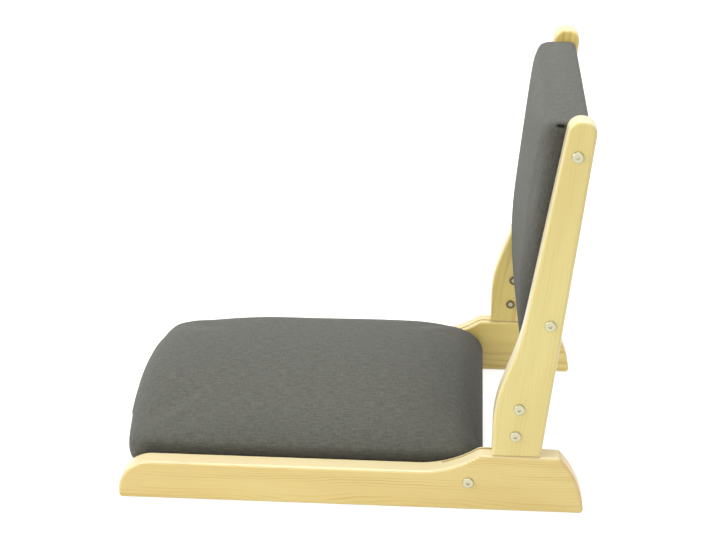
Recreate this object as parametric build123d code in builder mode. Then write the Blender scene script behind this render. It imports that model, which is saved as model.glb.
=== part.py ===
"""Folding floor chair: a low wooden chair with no legs, whose padded back folds forward onto its seat.

The chair faces -X and its left side is at -Y. The runners lie on the floor, Z = 0, and the origin is on
the floor under the middle of the runners. All sizes are in millimetres.
"""

import os
from math import atan, cos, radians, sin, tan

from build123d import *

os.makedirs("parts", exist_ok=True)

# ---------------------------------------------------------------- driving dimensions

# Wooden side frames
length = 550.0
width = 400.0
frame_thick = 26.0
edge_round = 4.0

# Runners, seen from the side
runner_height = 49.0
heel_height = 72.5
nose_round = 40.0
ramp_start_x = 115.6
ramp_end_x = 151.7
ramp_hollow = 122.0
ramp_crest = 14.0
heel_end_x = 244.4
tail_knee = (271.8, 40.5)
tail_foot_x = 275.39  # where the tail's line meets the floor; its rounded corner ends at the length above
tail_round = 108.0
tail_corner = 8.0
floor_corner = 4.2
runner_rounds = [floor_corner, nose_round, ramp_hollow, ramp_crest, tail_corner, tail_round, floor_corner]

# Uprights, seen from the side
foot_gap = 0.3
foot_front_x = 166.0
foot_rear_x = 222.8
foot_knee_z = 140.6
blade_foot = (193.75, 219.0)
blade_top = (236.1, 482.9)
upright_top_z = 479.9
back_lean = 6.24
top_round = 14.7
knee_round = 165.0
blade_round = 300.0
foot_corner = 3.0

# Fold pivot and hinge plates
pivot_x = 139.5
pivot_z = 37.0
plate_thick = 2.5
plate_inset = 6.5
plate_eye = 12.0
plate_knee = (190.0, 62.0)
plate_knee_round = 14.0
plate_top_round = 13.0
slot_play = 0.2
slot_clear = 1.6
slot_nose_x = 108.0
kerf_clear = 1.0
kerf_rear_clear = 3.0
pivot_barrel = 5.0
pivot_play = 0.05
pivot_fit = 0.02
pivot_sleeve_length = 19.5
pivot_head = 6.9
pivot_head_seat = 7.2
pivot_head_sunk = 0.1

# Bolts
bolt_shank = 3.0
bolt_clear = 3.2
bolt_head = 6.6
bolt_head_high = 2.6
bolt_dome = 1.9
bolt_socket = 2.3
bolt_socket_deep = 1.7
foot_bolts_at = [(192.3, 100.0), (195.3, 135.0)]
back_bolts_at = [(225.8, 241.2), (245.9, 441.4)]
sleeve_barrel = 4.25
sleeve_head = 5.9
sleeve_head_high = 2.0
sleeve_head_bevel = 0.5
sleeve_length = 16.0
insert_barrel = 4.5
insert_length = 18.0
pivot_bolt_length = 22.0
foot_bolt_length = 27.6
back_bolt_length = 44.0
bore_spare = 1.0

# Seat
cloth = 1.2
lining_thick = 0.8
seat_rail = (40.0, 20.0)
seat_rail_x = (-205.0, 90.0)
seat_rail_low = 4.0
rail_bevel = 1.5
seat_board_thick = 9.0
seat_board_from = -258.0
seat_board_to = 146.0
seat_board_margin = 12.0
seat_board_corner = 16.0
lining_margin = 5.0
lining_corner = 8.0
hem_corner = 6.0
seat_half_width = 172.5
seat_tuck = 7.0
crown_reach = 0.85
hem_width = 30.0
dowel_radius = 4.0
dowel_length = 36.0
dowel_spacing = 24.0
dowel_spare = 0.5
dowel_bevel = 0.8
screw_y = 120.0
screw_radius = 2.0
screw_head = 4.0
screw_head_high = 2.4
screw_sink = 5.0
screw_sink_radius = 4.6
screw_length = 23.0

# Back pad, measured along the uprights' rear line and forward from it
back_gap = 3.0
back_frame_deep = 20.0
back_board_thick = 5.0
back_low = 148.0
back_high = 464.0
back_half_width = 173.6
back_wadding = 4.0
back_side_base = 11.0
back_side_share = 0.35
back_crown_share = 0.26
back_frame_low = 182.0
back_frame_high = 452.0
stile_wide = 36.0
back_rail_high = 26.0
back_board_margin = 4.0
back_lining_margin = 6.0
back_corner = 8.0

# ---------------------------------------------------------------- derived values

half_length = length / 2
half_width = width / 2
inner_face = half_width - frame_thick
foot_low = heel_height + foot_gap
plate_face = inner_face + plate_inset - plate_thick / 2
seat_low = seat_rail_low + seat_rail[1] + lining_thick
seat_board_long = seat_board_to - seat_board_from
seat_board_wide = 2 * (seat_half_width - seat_board_margin)
seat_board_at = ((seat_board_from + seat_board_to) / 2, 0)
rail_mid_z = seat_rail_low + seat_rail[1] / 2
screws_at = [(rail_x, y) for rail_x in seat_rail_x for y in (-screw_y, screw_y)]
rear_plane = Plane(
    origin=(foot_rear_x, 0, foot_low),
    x_dir=(0, 1, 0),
    z_dir=(sin(radians(back_lean)), 0, cos(radians(back_lean))),
)


def rear_x(z):
    """X of the uprights' straight rear edge at height z."""
    return foot_rear_x + (z - foot_low) * tan(radians(back_lean))


def back_plane(z):
    """Plane across the back pad where its rear line passes height z: local x is Y, local y is forward."""
    return rear_plane.offset((z - foot_low) / cos(radians(back_lean)))


def back_depth_plane(depth):
    """Plane parallel to the back at a depth forward of the rear line: local x is Y, local y runs up it."""
    return Plane(
        origin=rear_plane.from_local_coords((0, depth, 0)),
        x_dir=(0, 1, 0),
        z_dir=-rear_plane.y_dir,
    )


def up_back(z):
    """Distance along the back from the foot's underside to height z on the rear line."""
    return (z - foot_low) / cos(radians(back_lean))


# ---------------------------------------------------------------- base: runners

with BuildPart() as runner_left:
    with BuildSketch(Plane.XZ.offset(inner_face)):
        with BuildLine():
            FilletPolyline(
                (-half_length, 0),
                (-half_length, runner_height),
                (ramp_start_x, runner_height),
                (ramp_end_x, heel_height),
                (heel_end_x, heel_height),
                tail_knee,
                (tail_foot_x, 0),
                radius=runner_rounds,
                close=True,
            )
        make_face()
    extrude(amount=frame_thick)
    fillet(faces().filter_by(Axis.Y).edges(), edge_round)
    # Slot for the hinge plate, open along the top of the heel
    with BuildSketch(Plane.XZ.offset(plate_face - slot_play)):
        with BuildLine():
            CenterArc((pivot_x, pivot_z), plate_eye + slot_clear, 0, 360)
            CenterArc(plate_knee, plate_knee_round + slot_clear, 0, 360)
        make_hull()
        with BuildLine():
            Polyline(
                (slot_nose_x, heel_height + edge_round),
                (slot_nose_x, pivot_z + plate_eye),
                (pivot_x - plate_eye - slot_clear, pivot_z),
                plate_knee,
                (plate_knee[0] + plate_knee_round + slot_clear, plate_knee[1]),
                (plate_knee[0] + plate_knee_round + slot_clear, heel_height + edge_round),
                close=True,
            )
        make_face()
    extrude(amount=plate_thick + 2 * slot_play, mode=Mode.SUBTRACT)
    # Bore for the pivot sleeve, with a sunk seat for its head in the inner face
    with BuildSketch(Plane.XZ.offset(inner_face)):
        with Locations((pivot_x, pivot_z)):
            Circle(pivot_head_seat)
    extrude(amount=sleeve_head_high + 2 * pivot_head_sunk, mode=Mode.SUBTRACT)
    with BuildSketch(Plane.XZ.offset(inner_face)):
        with Locations((pivot_x, pivot_z)):
            Circle(pivot_barrel)
    extrude(amount=pivot_sleeve_length + dowel_spare, mode=Mode.SUBTRACT)
    with BuildSketch(Plane.XZ.offset(inner_face)):
        with Locations((pivot_x, pivot_z)):
            Circle(bolt_clear)
    extrude(amount=frame_thick, mode=Mode.SUBTRACT)
    # Blind holes for the rails' dowels
    with BuildSketch(Plane.XZ.offset(inner_face)):
        for rail_x in seat_rail_x:
            with Locations((rail_x, rail_mid_z)):
                with GridLocations(dowel_spacing, 1, 2, 1):
                    Circle(dowel_radius)
    extrude(amount=dowel_length / 2 + dowel_spare, mode=Mode.SUBTRACT)

with BuildPart() as runner_right:
    mirror(runner_left.part, about=Plane.XZ)

# ---------------------------------------------------------------- base: seat rails and their dowels

seat_rails = []
for rail_x in seat_rail_x:
    with BuildPart() as rail:
        with BuildSketch(Plane.XY.offset(seat_rail_low)):
            with Locations((rail_x, 0)):
                Rectangle(seat_rail[0], 2 * inner_face)
        extrude(amount=seat_rail[1])
        chamfer(edges().filter_by(Axis.Y), rail_bevel)
        # Dowel holes in both ends
        with BuildSketch(Plane.XZ.offset(inner_face)):
            with Locations((rail_x, rail_mid_z)):
                with GridLocations(dowel_spacing, 1, 2, 1):
                    Circle(dowel_radius)
        ends = extrude(amount=-(dowel_length / 2 + dowel_spare), mode=Mode.SUBTRACT)
        mirror(ends, about=Plane.XZ, mode=Mode.SUBTRACT)
        # Screw holes with sunk seats, from below
        with BuildSketch(Plane.XY.offset(seat_rail_low)):
            with Locations((rail_x, screw_y), (rail_x, -screw_y)):
                Circle(screw_sink_radius)
        extrude(amount=screw_sink, mode=Mode.SUBTRACT)
        with BuildSketch(Plane.XY.offset(seat_rail_low)):
            with Locations((rail_x, screw_y), (rail_x, -screw_y)):
                Circle(screw_radius)
        extrude(amount=seat_rail[1], mode=Mode.SUBTRACT)
    seat_rails.append(rail)
seat_rail_front, seat_rail_rear = seat_rails

with BuildPart() as rail_dowels:
    with BuildSketch(Plane.XZ.offset(inner_face - dowel_length / 2)):
        for rail_x in seat_rail_x:
            with Locations((rail_x, rail_mid_z)):
                with GridLocations(dowel_spacing, 1, 2, 1):
                    Circle(dowel_radius)
    extrude(amount=dowel_length)
    chamfer(edges().filter_by(GeomType.CIRCLE), dowel_bevel)
    mirror(about=Plane.XZ)

# ---------------------------------------------------------------- base: seat pad


def shoulder_point(edge, top, side, fall):
    """Where the crown's arc, falling by fall, meets the shoulder's, which stands upright at (edge, side)."""
    slope = atan(2 * fall / (crown_reach * edge))
    rise = top - fall - side
    return (edge - rise * (1 - sin(slope)) / cos(slope), top - fall)


def seat_section(x, half, crown, side, fall_share, inset):
    """Cross-section of the seat pad at x: crown, round shoulders and sides tucked in below."""
    edge = half - inset
    top = crown - inset
    shoulder = shoulder_point(edge, top, side, fall_share * (top - side))
    with BuildSketch(Plane(origin=(x, 0, 0), x_dir=(0, 1, 0), z_dir=(1, 0, 0))) as section:
        with BuildLine():
            TangentArc((0, top), shoulder, tangent=(1, 0))
            TangentArc((edge, side), shoulder, tangent=(0, 1))
            tuck = TangentArc((edge, side), (edge - seat_tuck, seat_low - seat_tuck), tangent=(0, -1))
            Line(tuck @ 1, (0, seat_low - seat_tuck))
            mirror(about=Plane.YZ)
        make_face()
    return section.sketch


# Stations from the seat's front to its rear: x, half width, crown height, height of the widest line, and the
# share of the height between them that the crown's arc falls before the shoulder
seat_stations = [
    (-275.0, 140.0, 68.0, 44.0, 0.45),
    (-272.0, 150.0, 75.0, 45.0, 0.50),
    (-265.0, 160.2, 81.5, 46.0, 0.53),
    (-249.0, 169.6, 89.5, 47.5, 0.47),
    (-203.0, 172.2, 97.0, 49.5, 0.37),
    (-112.0, 172.5, 99.3, 51.0, 0.325),
    (0.0, 172.5, 99.5, 52.0, 0.32),
    (70.0, 172.5, 97.5, 51.0, 0.31),
    (112.0, 172.3, 92.0, 48.0, 0.30),
    (138.0, 171.5, 79.5, 44.0, 0.28),
    (152.0, 169.0, 62.0, 38.0, 0.28),
    (158.0, 165.0, 48.0, 34.0, 0.28),
]

seat_mid_x = (seat_stations[0][0] + seat_stations[-1][0]) / 2
seat_half_long = (seat_stations[-1][0] - seat_stations[0][0]) / 2

pads = []
for inset in (0.0, cloth):
    sections = []
    for x, half, crown, side, fall_share in seat_stations:
        x_in = x - inset * (x - seat_mid_x) / seat_half_long
        sections.append(seat_section(x_in, half, crown, side, fall_share, inset))
    with BuildPart() as pad:
        loft(sections)
        split(bisect_by=Plane.XY.offset(seat_low + inset), keep=Keep.TOP)
    pads.append(pad)
seat_outer, seat_inner = pads

with BuildPart() as seat_board:
    with BuildSketch(Plane.XY.offset(seat_low + cloth)):
        with Locations(seat_board_at):
            RectangleRounded(seat_board_long, seat_board_wide, seat_board_corner)
    extrude(amount=seat_board_thick)
    with BuildSketch(Plane.XY.offset(seat_low)):
        with Locations(*screws_at):
            Circle(screw_radius)
    extrude(amount=cloth + seat_board_thick - screw_radius, mode=Mode.SUBTRACT)

with BuildPart() as seat_foam:
    add(seat_inner.part)
    with BuildSketch(Plane.XY.offset(seat_low + cloth)):
        with Locations(seat_board_at):
            RectangleRounded(seat_board_long, seat_board_wide, seat_board_corner)
    extrude(amount=seat_board_thick, mode=Mode.SUBTRACT)

with BuildPart() as seat_cover:
    add(seat_outer.part)
    add(seat_inner.part, mode=Mode.SUBTRACT)
    # Underneath, the cloth is only a hem turned in around the board's edge
    with BuildSketch(Plane.XY.offset(seat_low - cloth)):
        with Locations(seat_board_at):
            RectangleRounded(seat_board_long - 2 * hem_width, seat_board_wide - 2 * hem_width, hem_corner)
    extrude(amount=2 * cloth, mode=Mode.SUBTRACT)

with BuildPart() as seat_lining:
    with BuildSketch(Plane.XY.offset(seat_low - lining_thick)):
        with Locations(seat_board_at):
            RectangleRounded(
                seat_board_long - 2 * lining_margin, seat_board_wide - 2 * lining_margin, lining_corner
            )
        with Locations(*screws_at):
            Circle(screw_radius, mode=Mode.SUBTRACT)
    extrude(amount=lining_thick)

with BuildPart() as seat_screws:
    with BuildSketch(Plane.XY.offset(seat_rail_low + screw_sink - screw_head_high)):
        with Locations(*screws_at):
            Circle(screw_head)
    extrude(amount=screw_head_high)
    with BuildSketch(Plane.XY.offset(seat_rail_low + screw_sink)):
        with Locations(*screws_at):
            Circle(screw_radius)
    extrude(amount=screw_length)

# ---------------------------------------------------------------- bolts: domed heads with hexagon sockets

bolt_sets = []
for places, shank_length in (
    ([(pivot_x, pivot_z)], pivot_bolt_length),
    (foot_bolts_at, foot_bolt_length),
    (back_bolts_at, back_bolt_length),
):
    with BuildPart() as bolts:
        with BuildSketch(Plane.XZ.offset(half_width)):
            with Locations(*places):
                Circle(bolt_head)
        extrude(amount=bolt_head_high)
        fillet(edges().filter_by(GeomType.CIRCLE).group_by(Axis.Y)[0], bolt_dome)
        with BuildSketch(Plane.XZ.offset(half_width + bolt_head_high)):
            with Locations(*places):
                RegularPolygon(bolt_socket, 6)
        extrude(amount=-bolt_socket_deep, mode=Mode.SUBTRACT)
        with BuildSketch(Plane.XZ.offset(half_width)):
            with Locations(*places):
                Circle(bolt_shank)
        extrude(amount=-shank_length)
        mirror(about=Plane.XZ)
    bolt_sets.append(bolts)
pivot_bolts, foot_bolts, back_bolts = bolt_sets

# ---------------------------------------------------------------- base: pivot sleeves

with BuildPart() as pivot_sleeves:
    with BuildSketch(Plane.XZ.offset(inner_face + pivot_head_sunk)):
        with Locations((pivot_x, pivot_z)):
            Circle(pivot_head)
    extrude(amount=sleeve_head_high)
    with BuildSketch(Plane.XZ.offset(inner_face + pivot_head_sunk)):
        with Locations((pivot_x, pivot_z)):
            Circle(pivot_barrel - pivot_fit)
    extrude(amount=pivot_sleeve_length)
    with BuildSketch(Plane.XZ.offset(inner_face)):
        with Locations((pivot_x, pivot_z)):
            Circle(bolt_shank)
    extrude(amount=frame_thick, mode=Mode.SUBTRACT)
    mirror(about=Plane.XZ)

# ---------------------------------------------------------------- back: uprights

with BuildPart() as upright_left:
    with BuildSketch(Plane.XZ.offset(inner_face)):
        with BuildLine():
            FilletPolyline(
                (foot_front_x, foot_low),
                (foot_front_x, foot_knee_z),
                blade_foot,
                blade_top,
                (rear_x(upright_top_z), upright_top_z),
                (foot_rear_x, foot_low),
                radius=[0, knee_round, blade_round, top_round, top_round, foot_corner],
                close=True,
            )
        make_face()
    extrude(amount=frame_thick)
    outline = faces().filter_by(Axis.Y).edges()
    fillet(outline.filter_by(lambda edge: edge.center().Z > foot_low + edge_round), edge_round)
    # Kerf for the hinge plate, open at the underside of the foot
    with BuildSketch(Plane.XZ.offset(plate_face)):
        with BuildLine():
            Polyline(
                (plate_knee[0] - plate_knee_round - kerf_clear, foot_low - kerf_clear),
                (foot_bolts_at[1][0] - plate_top_round - kerf_clear, foot_bolts_at[1][1]),
                (foot_bolts_at[1][0] + plate_top_round + kerf_clear, foot_bolts_at[1][1]),
                (plate_knee[0] + plate_knee_round + kerf_rear_clear, foot_low - kerf_clear),
                close=True,
            )
        make_face()
        with Locations(foot_bolts_at[1]):
            Circle(plate_top_round + kerf_clear)
    extrude(amount=plate_thick, mode=Mode.SUBTRACT)
    # Bolt holes: stepped in the foot for the sleeve nuts, plain in the blade
    with BuildSketch(Plane.XZ.offset(inner_face)):
        with Locations(*foot_bolts_at):
            Circle(sleeve_barrel)
    extrude(amount=sleeve_length + bore_spare, mode=Mode.SUBTRACT)
    with BuildSketch(Plane.XZ.offset(inner_face)):
        with Locations(*foot_bolts_at, *back_bolts_at):
            Circle(bolt_clear)
    extrude(amount=frame_thick, mode=Mode.SUBTRACT)

with BuildPart() as upright_right:
    mirror(upright_left.part, about=Plane.XZ)

# ---------------------------------------------------------------- back: hinge plates

with BuildPart() as hinge_plate_left:
    with BuildSketch(Plane.XZ.offset(plate_face)):
        with BuildLine():
            CenterArc((pivot_x, pivot_z), plate_eye, 0, 360)
            CenterArc(plate_knee, plate_knee_round, 0, 360)
        make_hull()
    extrude(amount=plate_thick)
    with BuildSketch(Plane.XZ.offset(plate_face)):
        with BuildLine():
            CenterArc(plate_knee, plate_knee_round, 0, 360)
            CenterArc(foot_bolts_at[1], plate_top_round, 0, 360)
        make_hull()
    extrude(amount=plate_thick)
    with BuildSketch(Plane.XZ.offset(plate_face)):
        with Locations((pivot_x, pivot_z)):
            Circle(pivot_barrel + pivot_play)
        with Locations(*foot_bolts_at):
            Circle(sleeve_barrel)
    extrude(amount=plate_thick, mode=Mode.SUBTRACT)

with BuildPart() as hinge_plate_right:
    mirror(hinge_plate_left.part, about=Plane.XZ)

# ---------------------------------------------------------------- back: sleeve nuts of the foot bolts

with BuildPart() as foot_sleeve_nuts:
    with BuildSketch(Plane.XZ.offset(inner_face)):
        with Locations(*foot_bolts_at):
            Circle(sleeve_head)
    extrude(amount=-sleeve_head_high)
    chamfer(edges().filter_by(GeomType.CIRCLE).group_by(Axis.Y)[-1], sleeve_head_bevel)
    with BuildSketch(Plane.XZ.offset(inner_face)):
        with Locations(*foot_bolts_at):
            Circle(sleeve_barrel)
    extrude(amount=sleeve_length)
    with BuildSketch(Plane.XZ.offset(inner_face - sleeve_head_high)):
        with Locations(*foot_bolts_at):
            Circle(bolt_shank)
    extrude(amount=frame_thick, mode=Mode.SUBTRACT)
    mirror(about=Plane.XZ)

# ---------------------------------------------------------------- back: frame inside the pad

stile_outer = back_half_width - cloth - back_wadding
stile_inner = stile_outer - stile_wide
frame_from = back_gap + cloth
stile_mid = (up_back(back_frame_low) + up_back(back_frame_high)) / 2
stile_long = up_back(back_frame_high) - up_back(back_frame_low)

with BuildPart() as back_stile_left:
    with BuildSketch(back_depth_plane(frame_from)):
        with Locations((-(stile_inner + stile_outer) / 2, stile_mid)):
            Rectangle(stile_wide, stile_long)
    extrude(amount=-back_frame_deep)
    with BuildSketch(Plane.XZ.offset(stile_outer)):
        with Locations(*back_bolts_at):
            Circle(insert_barrel)
    extrude(amount=-insert_length, mode=Mode.SUBTRACT)
    with BuildSketch(Plane.XZ.offset(stile_outer)):
        with Locations(*back_bolts_at):
            Circle(bolt_clear)
    extrude(amount=-stile_wide, mode=Mode.SUBTRACT)

with BuildPart() as back_stile_right:
    mirror(back_stile_left.part, about=Plane.XZ)

rail_levels = (up_back(back_frame_low) + back_rail_high / 2, up_back(back_frame_high) - back_rail_high / 2)
back_rails = []
for level in rail_levels:
    with BuildPart() as rail:
        with BuildSketch(back_depth_plane(frame_from)):
            with Locations((0, level)):
                Rectangle(2 * stile_inner, back_rail_high)
        extrude(amount=-back_frame_deep)
    back_rails.append(rail)
back_rail_lower, back_rail_upper = back_rails

with BuildPart() as insert_nuts:
    with BuildSketch(Plane.XZ.offset(stile_outer)):
        with Locations(*back_bolts_at):
            Circle(insert_barrel)
            Circle(bolt_shank, mode=Mode.SUBTRACT)
    extrude(amount=-insert_length)
    mirror(about=Plane.XZ)

with BuildPart() as back_board:
    with BuildSketch(back_depth_plane(frame_from + back_frame_deep)):
        with Locations((0, stile_mid)):
            RectangleRounded(2 * (stile_outer - back_board_margin), stile_long, back_corner)
    extrude(amount=-back_board_thick)

# ---------------------------------------------------------------- back: pad


def back_section(z, half, deep, inset):
    """Cross-section of the back pad where its rear line is at z: crown, round shoulders and flat sides."""
    edge = half - inset
    top = deep - inset
    side = back_side_base + back_side_share * deep
    shoulder = shoulder_point(edge, top, side, back_crown_share * (top - side))
    with BuildSketch(back_plane(z)) as section:
        with BuildLine():
            TangentArc((0, top), shoulder, tangent=(1, 0))
            TangentArc((edge, side), shoulder, tangent=(0, 1))
            Polyline((edge, side), (edge, -back_gap), (0, -back_gap))
            mirror(about=Plane.YZ)
        make_face()
    return section.sketch


# Stations from the pad's lower end to its top: height on the rear line, half width, depth at the crown
back_stations = [
    (148.0, 163.0, 26.0),
    (152.0, 167.5, 31.0),
    (164.0, 171.2, 36.5),
    (204.0, 172.8, 46.8),
    (240.0, 173.2, 54.8),
    (276.0, 173.4, 60.2),
    (320.0, 173.4, 62.0),
    (380.0, 173.4, 63.0),
    (430.0, 173.2, 63.5),
    (446.0, 172.8, 62.5),
    (457.0, 171.6, 58.5),
    (464.0, 168.0, 49.5),
]

pads = []
for inset in (0.0, cloth):
    sections = []
    for z, half, deep in back_stations:
        z_in = z - inset * (2 * z - back_high - back_low) / (back_high - back_low)
        sections.append(back_section(z_in, half, deep, inset))
    with BuildPart() as pad:
        loft(sections)
        split(bisect_by=back_depth_plane(back_gap + inset), keep=Keep.BOTTOM)
    pads.append(pad)
back_outer, back_inner = pads

with BuildPart() as back_foam:
    add(back_inner.part)
    with BuildSketch(back_depth_plane(frame_from)):
        with Locations((0, stile_mid)):
            Rectangle(2 * stile_outer, stile_long)
    extrude(amount=-back_frame_deep, mode=Mode.SUBTRACT)
    with BuildSketch(Plane.XZ.offset(half_width)):
        with Locations(*back_bolts_at):
            Circle(bolt_clear)
    extrude(amount=-width, mode=Mode.SUBTRACT)
    with BuildSketch(back_depth_plane(frame_from + back_frame_deep)):
        with Locations((0, stile_mid)):
            RectangleRounded(2 * (stile_outer - back_board_margin), stile_long, back_corner)
    extrude(amount=-back_board_thick, mode=Mode.SUBTRACT)

with BuildPart() as back_cover:
    add(back_outer.part)
    add(back_inner.part, mode=Mode.SUBTRACT)
    # Behind, the cloth is only a hem turned in around the frame's edge
    with BuildSketch(back_depth_plane(back_gap - cloth)):
        with Locations((0, stile_mid)):
            RectangleRounded(2 * (stile_outer - hem_width), stile_long - 2 * hem_width, hem_corner)
    extrude(amount=-2 * cloth, mode=Mode.SUBTRACT)
    with BuildSketch(Plane.XZ.offset(half_width)):
        with Locations(*back_bolts_at):
            Circle(bolt_clear)
    extrude(amount=-width, mode=Mode.SUBTRACT)

with BuildPart() as back_lining:
    with BuildSketch(back_depth_plane(back_gap - lining_thick)):
        with Locations((0, stile_mid)):
            RectangleRounded(
                2 * (stile_outer - back_lining_margin), stile_long - back_lining_margin, hem_corner
            )
    extrude(amount=-lining_thick)

# ---------------------------------------------------------------- write each piece

pieces = {
    "runner_left": runner_left,
    "runner_right": runner_right,
    "seat_rail_front": seat_rail_front,
    "seat_rail_rear": seat_rail_rear,
    "rail_dowels": rail_dowels,
    "seat_board": seat_board,
    "seat_foam": seat_foam,
    "seat_cover": seat_cover,
    "seat_lining": seat_lining,
    "seat_screws": seat_screws,
    "pivot_bolts": pivot_bolts,
    "pivot_sleeves": pivot_sleeves,
    "upright_left": upright_left,
    "upright_right": upright_right,
    "hinge_plate_left": hinge_plate_left,
    "hinge_plate_right": hinge_plate_right,
    "foot_bolts": foot_bolts,
    "foot_sleeve_nuts": foot_sleeve_nuts,
    "back_bolts": back_bolts,
    "back_stile_left": back_stile_left,
    "back_stile_right": back_stile_right,
    "back_rail_upper": back_rail_upper,
    "back_rail_lower": back_rail_lower,
    "insert_nuts": insert_nuts,
    "back_board": back_board,
    "back_foam": back_foam,
    "back_cover": back_cover,
    "back_lining": back_lining,
}

for name, piece in pieces.items():
    piece.part.label = name
    export_step(piece.part, f"parts/{name}.step")
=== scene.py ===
# %% [markdown]
# # Dressing a folding floor chair
# The chair is a pair of pine side frames, a thick padded seat and a padded back that folds forward. Its
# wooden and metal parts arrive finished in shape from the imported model, so they only need good materials.
# The two cushions arrive as plain solids, and this lesson makes real upholstery in their place.
# Everything is in metres, in the model's own frame: the chair faces -X, its left side, the near one in the
# photograph, is at -Y, and the floor is Z = 0.

import math

import bmesh
import bpy
import numpy as np
from mathutils import Matrix


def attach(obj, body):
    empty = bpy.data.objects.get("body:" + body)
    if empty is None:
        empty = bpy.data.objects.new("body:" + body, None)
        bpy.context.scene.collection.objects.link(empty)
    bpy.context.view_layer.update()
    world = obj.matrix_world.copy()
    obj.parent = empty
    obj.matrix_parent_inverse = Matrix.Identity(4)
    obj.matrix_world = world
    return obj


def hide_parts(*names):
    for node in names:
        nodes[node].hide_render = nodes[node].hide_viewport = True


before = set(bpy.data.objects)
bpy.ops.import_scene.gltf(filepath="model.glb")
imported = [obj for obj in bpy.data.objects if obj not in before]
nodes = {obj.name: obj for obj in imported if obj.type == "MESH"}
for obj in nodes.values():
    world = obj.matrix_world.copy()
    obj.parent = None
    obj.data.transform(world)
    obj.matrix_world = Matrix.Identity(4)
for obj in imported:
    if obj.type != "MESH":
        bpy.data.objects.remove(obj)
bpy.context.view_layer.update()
scene = bpy.context.scene

# %% [markdown]
# ## The camera
# A photograph's viewpoint can be found by hand, or worked out from edges whose real places are known. Here
# the bolt heads, the runners' ends and the uprights' tops gave it: a long lens, two metres to the left of
# the chair and a metre up. A camera looks along its own -Z with +Y up, so its turn is a matrix of three
# columns: right, up and backwards.

# %% Place the camera
image_width = 716.0
focal_pixels = 1734.66
camera_at = np.array((0.12321, -1.97286, 1.05724))
pitch, yaw, roll = (math.radians(a) for a in (23.01, -3.66, -0.23))


def placed(across, upward, backwards, at):
    """The matrix that stands an object at a place, with its own X, Y and Z along three directions."""
    made = np.eye(4)
    made[:3] = np.stack([across, upward, backwards, at], axis=1)
    return Matrix(made.tolist())


forward = np.array((math.sin(yaw) * math.cos(pitch), math.cos(yaw) * math.cos(pitch), -math.sin(pitch)))
unrolled_right = np.array((math.cos(yaw), -math.sin(yaw), 0.0))
down = np.cross(forward, unrolled_right)
right = math.cos(roll) * unrolled_right + math.sin(roll) * down
down = np.cross(forward, right)

lens = bpy.data.cameras.new("photo_lens")
lens.sensor_width = 36.0
lens.lens = focal_pixels * lens.sensor_width / image_width
lens.clip_start, lens.clip_end = 0.05, 100.0
camera = bpy.data.objects.new("photo_camera", lens)
scene.collection.objects.link(camera)
camera.matrix_world = placed(right, -down, -forward, camera_at)
scene.camera = camera
print("lens", round(lens.lens, 1), "mm at", camera_at)

# %% [markdown]
# ## Writing materials as sums
# A material is a graph of nodes. Wiring it node by node is long and hard to read, so one small class wraps
# an output and lets ordinary sums add the Math nodes. Every other node comes from its one method, `node`.


# %% A wire that can do sums
class Wire:
    """One output of a shader node. A sum on it adds a Math node to the same material."""

    def __init__(self, tree, socket=None):
        self.tree, self.socket = tree, socket

    def node(self, kind, settings=None, inputs=None, output=0):
        """Adds a node: first its settings, then the values or wires of its inputs. Gives one output."""
        made = self.tree.nodes.new("ShaderNode" + kind)
        for key, value in (settings or {}).items():
            setattr(made, key, value)
        for key, value in (inputs or {}).items():
            if isinstance(value, Wire):
                self.tree.links.new(value.socket, made.inputs[key])
            else:
                made.inputs[key].default_value = value
        return Wire(self.tree, made.outputs[output])

    def sum(self, operation, first, second=0.0):
        """A Math node."""
        return self.node("Math", {"operation": operation}, {0: first, 1: second})

    def __add__(self, other):
        return self.sum("ADD", self, other)

    def __radd__(self, other):
        return self.sum("ADD", other, self)

    def __sub__(self, other):
        return self.sum("SUBTRACT", self, other)

    def __rsub__(self, other):
        return self.sum("SUBTRACT", other, self)

    def __mul__(self, other):
        return self.sum("MULTIPLY", self, other)

    def __rmul__(self, other):
        return self.sum("MULTIPLY", other, self)

    def __truediv__(self, other):
        return self.sum("DIVIDE", self, other)

    def parts(self):
        """The x, y and z of a vector."""
        return [self.node("SeparateXYZ", inputs={0: self}, output=i) for i in range(3)]

    def times(self, x, y, z):
        """A vector stretched along each axis."""
        return self.node("VectorMath", {"operation": "MULTIPLY"}, {0: self, 1: (x, y, z)})

    def shifted(self, x, y, z):
        """A vector moved by a fixed amount."""
        return self.node("VectorMath", {"operation": "ADD"}, {0: self, 1: (x, y, z)})

    def noise(self, scale=1.0, detail=2.0, roughness=0.5):
        """Smooth random values from 0 to 1, about 0.5, at this place."""
        wanted = {"Vector": self, "Scale": scale, "Detail": detail, "Roughness": roughness}
        return self.node("TexNoise", inputs=wanted)

    def tint(self, low, high):
        """A colour between two, by this value."""
        return self.node("Mix", {"data_type": "RGBA"}, {0: self, 6: low, 7: high}, output=2)

    def clamped(self, low, high):
        """This value, spread so that low becomes 0 and high becomes 1, smoothly."""
        ends = {"Value": self, "From Min": low, "From Max": high}
        return self.node("MapRange", {"interpolation_type": "SMOOTHSTEP"}, ends)


print("sums on wires are ready")

# %% [markdown]
# ## From values to a finished material
# One shader, Principled, serves wood, metal and cloth alike. What is the same all over a surface goes on its
# own sockets as a number, and only what changes from place to place arrives by a wire. That keeps each
# finish easy to read, and an exporter can turn the wires into pictures.


# %% A material from its fixed and its varying values
def finish_material(name, colour, build=None, **fixed):
    """A Principled material: fixed values go on its sockets, and build(start) returns the wires that vary."""
    made = bpy.data.materials.new(name)
    made.use_nodes = True
    tree = made.node_tree
    shader = tree.nodes["Principled BSDF"]
    shader.inputs["Base Color"].default_value = (*colour, 1.0)
    for key, value in fixed.items():
        shader.inputs[key.replace("_", " ")].default_value = value
    for key, wire in (build(Wire(tree)) if build else {}).items():
        tree.links.new(wire.socket, shader.inputs[key])
    return made


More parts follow.
